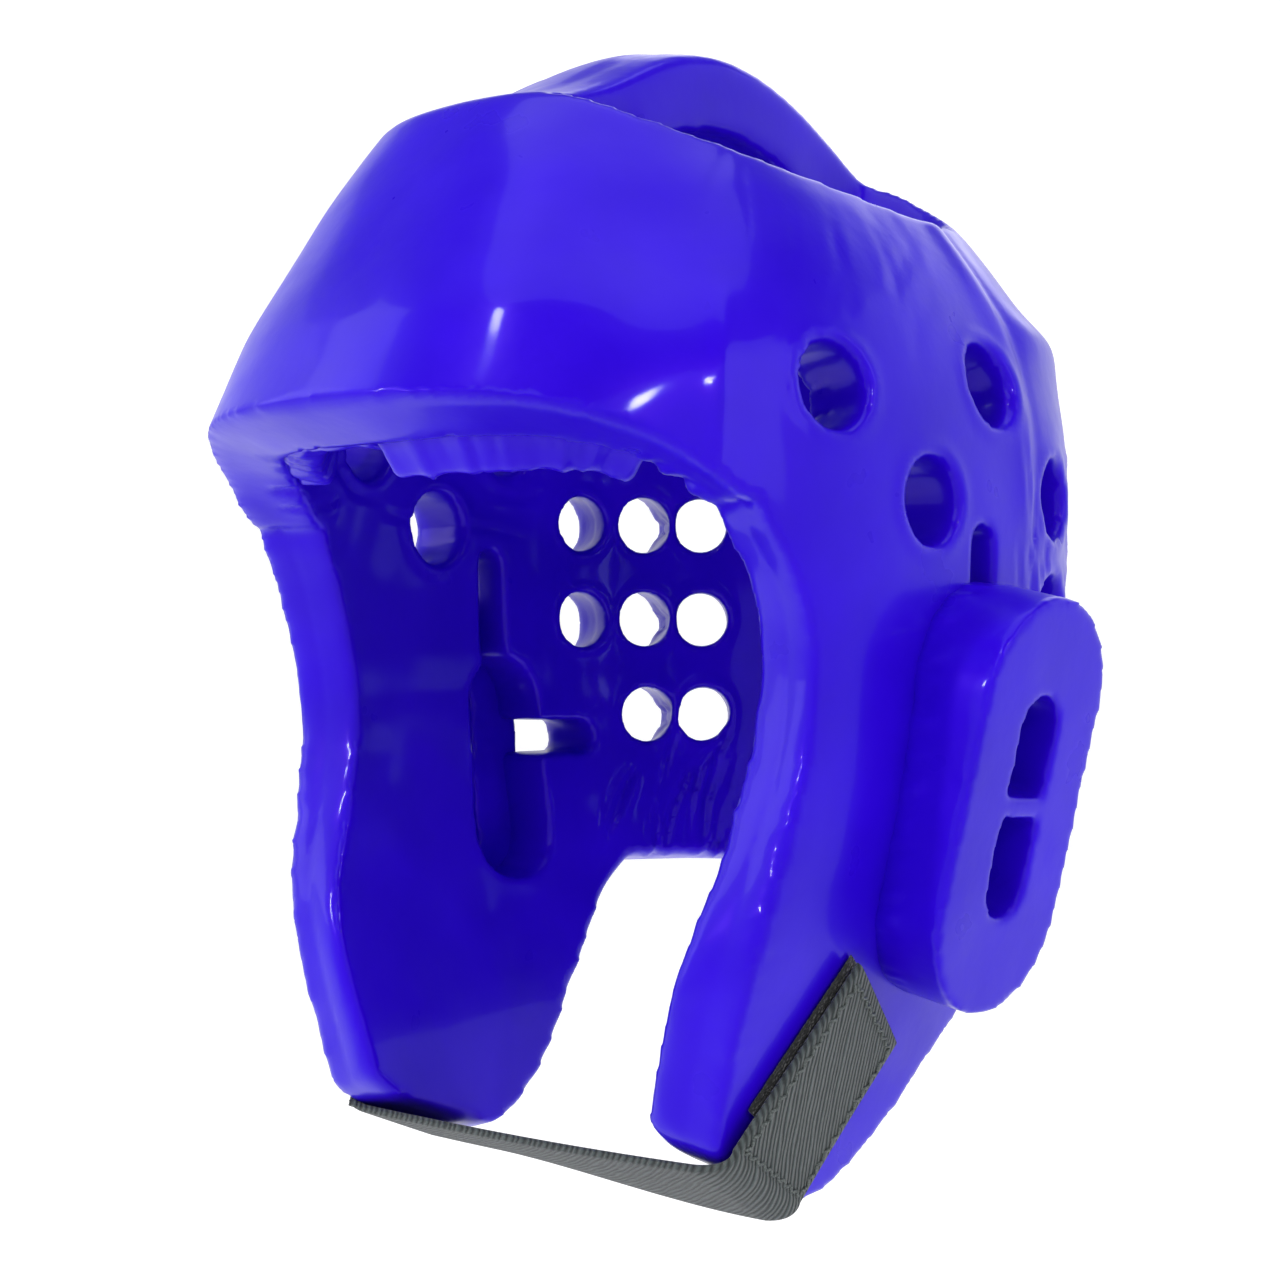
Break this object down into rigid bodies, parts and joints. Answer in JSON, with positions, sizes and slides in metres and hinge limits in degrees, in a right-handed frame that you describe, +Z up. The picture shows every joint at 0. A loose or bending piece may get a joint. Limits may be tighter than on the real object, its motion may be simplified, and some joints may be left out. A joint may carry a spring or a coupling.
{
  "type": "boxing headgear",
  "caption": "Open-face dipped-foam sparring headgear with visor brow, ear pads, vents and a hook-and-loop chin strap.",
  "frame": {"origin": "centre of the head cavity on the middle plane, level with the ears", "axes": "-Y the way the wearer faces, +X the wearer's left, +Z up"},
  "size_m": [0.2244, 0.2309, 0.2804],
  "materials": {
    "coated_foam": "glossy dipped vinyl over closed-cell foam",
    "pad_foam": "glossy dipped vinyl over closed-cell foam",
    "webbing": "elastic twill webbing",
    "hook_and_loop": "hook-and-loop tape",
    "thread": "polyester thread"
  },
  "bodies": {
    "shell": {"forehead_panel": "coated_foam", "left_brow_roll": "coated_foam", "right_brow_roll": "coated_foam", "left_side_panel": "coated_foam", "right_side_panel": "coated_foam", "left_cheek_outer_ply": "coated_foam", "right_cheek_outer_ply": "coated_foam", "left_cheek_inner_ply": "coated_foam", "right_cheek_inner_ply": "coated_foam", "rear_panel": "coated_foam", "rear_crown_panel": "coated_foam", "crown_strip": "coated_foam", "left_ear_pad": "pad_foam", "right_ear_pad": "pad_foam", "left_hook_patch": "hook_and_loop", "right_hook_patch": "hook_and_loop"},
    "right_end": {"right_strap_end": "webbing", "right_loop_patch": "hook_and_loop", "right_end_stitching": "thread"},
    "chin_strap": {"chin_webbing": "webbing"},
    "left_end": {"left_strap_end": "webbing", "left_loop_patch": "hook_and_loop", "left_end_stitching": "thread"}
  },
  "joints": [
    {"name": "chin_strap_swing", "type": "hinge", "parent": "shell", "child": "chin_strap", "pos_m": [-0.063, -0.03507, -0.11827], "axis": [0, 0.9285, -0.3714], "range_deg": [0, 90]},
    {"name": "left_end_peel", "type": "hinge", "parent": "chin_strap", "child": "left_end", "pos_m": [0.063, -0.04107, -0.11587], "axis": [0, 0.9285, -0.3714], "range_deg": [0, 140]},
    {"name": "right_end_peel", "type": "hinge", "parent": "shell", "child": "right_end", "pos_m": [-0.063, -0.03507, -0.11827], "axis": [0, -0.9285, 0.3714], "range_deg": [0, 90]}
  ]
}
